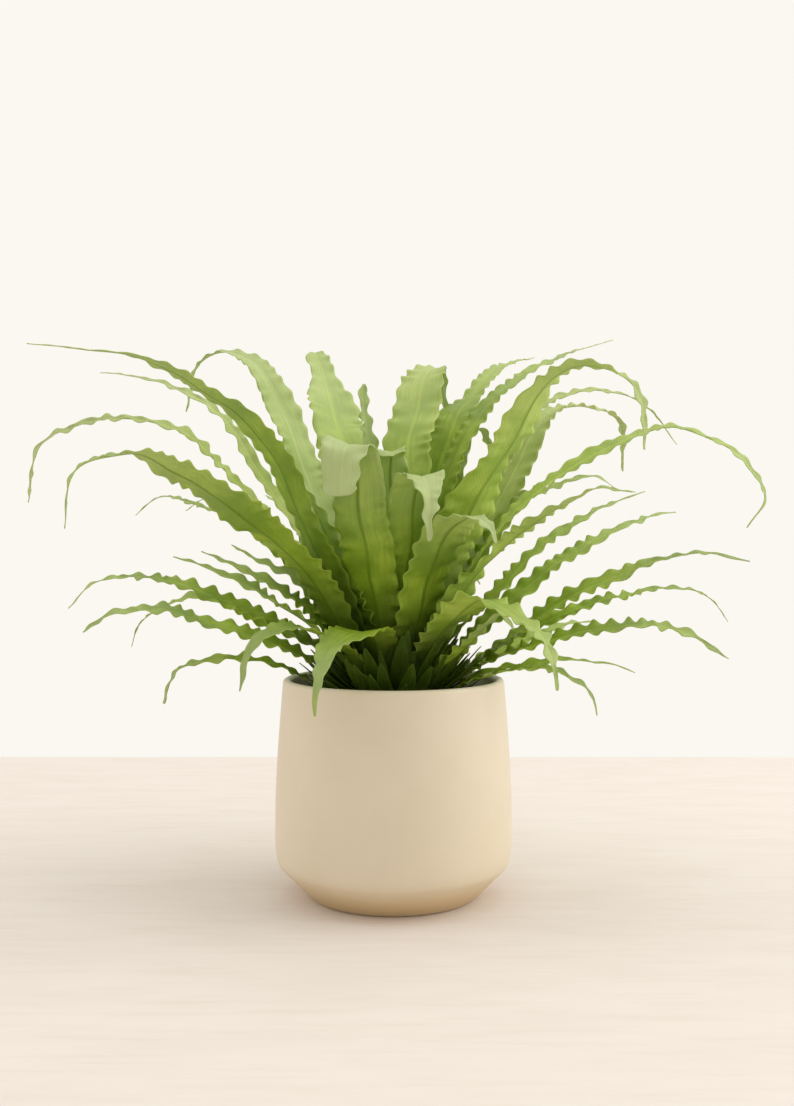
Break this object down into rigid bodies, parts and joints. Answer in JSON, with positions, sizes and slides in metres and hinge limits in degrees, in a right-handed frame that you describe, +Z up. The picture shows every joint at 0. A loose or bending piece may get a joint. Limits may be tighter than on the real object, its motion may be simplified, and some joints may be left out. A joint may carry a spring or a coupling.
{
  "type": "potted bird's-nest fern",
  "caption": "Rosette of strap-shaped fern fronds growing from a crown in a matte beige ceramic cover pot.",
  "frame": {"origin": "centre of the pot's flat underside", "axes": "+Z up along the pot's axis, -Y towards the viewer, +X to the viewer's right"},
  "size_m": [0.4775, 0.3801, 0.392],
  "materials": {
    "pot_glaze": "matte",
    "potting_soil": "matte",
    "crown_scales": "matte",
    "frond": "satin"
  },
  "bodies": {
    "root": {"pot": "pot_glaze", "root_ball": "potting_soil", "crown": "crown_scales", "frond_left_01": "frond", "frond_left_02": "frond", "frond_left_03": "frond", "frond_left_04": "frond", "frond_left_05": "frond", "frond_left_06": "frond", "frond_left_07": "frond", "frond_left_08": "frond", "frond_left_09": "frond", "frond_left_10": "frond", "frond_left_11": "frond", "frond_left_12": "frond", "frond_left_13": "frond", "frond_left_14": "frond", "frond_left_15": "frond", "frond_left_16": "frond", "frond_left_17": "frond", "frond_left_18": "frond", "frond_front_01": "frond", "frond_front_02": "frond", "frond_front_03": "frond", "frond_front_04": "frond", "frond_front_05": "frond", "frond_front_06": "frond", "frond_front_07": "frond", "frond_centre_01": "frond", "frond_centre_02": "frond", "frond_right_01": "frond", "frond_right_02": "frond", "frond_right_03": "frond", "frond_right_04": "frond", "frond_right_05": "frond", "frond_right_06": "frond", "frond_right_07": "frond", "frond_right_08": "frond", "frond_right_09": "frond", "frond_right_10": "frond", "frond_right_11": "frond", "frond_right_12": "frond", "frond_right_13": "frond", "frond_right_14": "frond", "frond_right_15": "frond", "frond_right_16": "frond", "frond_right_17": "frond", "frond_back_01": "frond", "frond_back_02": "frond", "frond_back_03": "frond", "frond_back_04": "frond", "frond_back_05": "frond", "frond_back_06": "frond", "frond_back_07": "frond", "frond_back_08": "frond", "frond_back_09": "frond", "frond_back_10": "frond"}
  },
  "joints": []
}
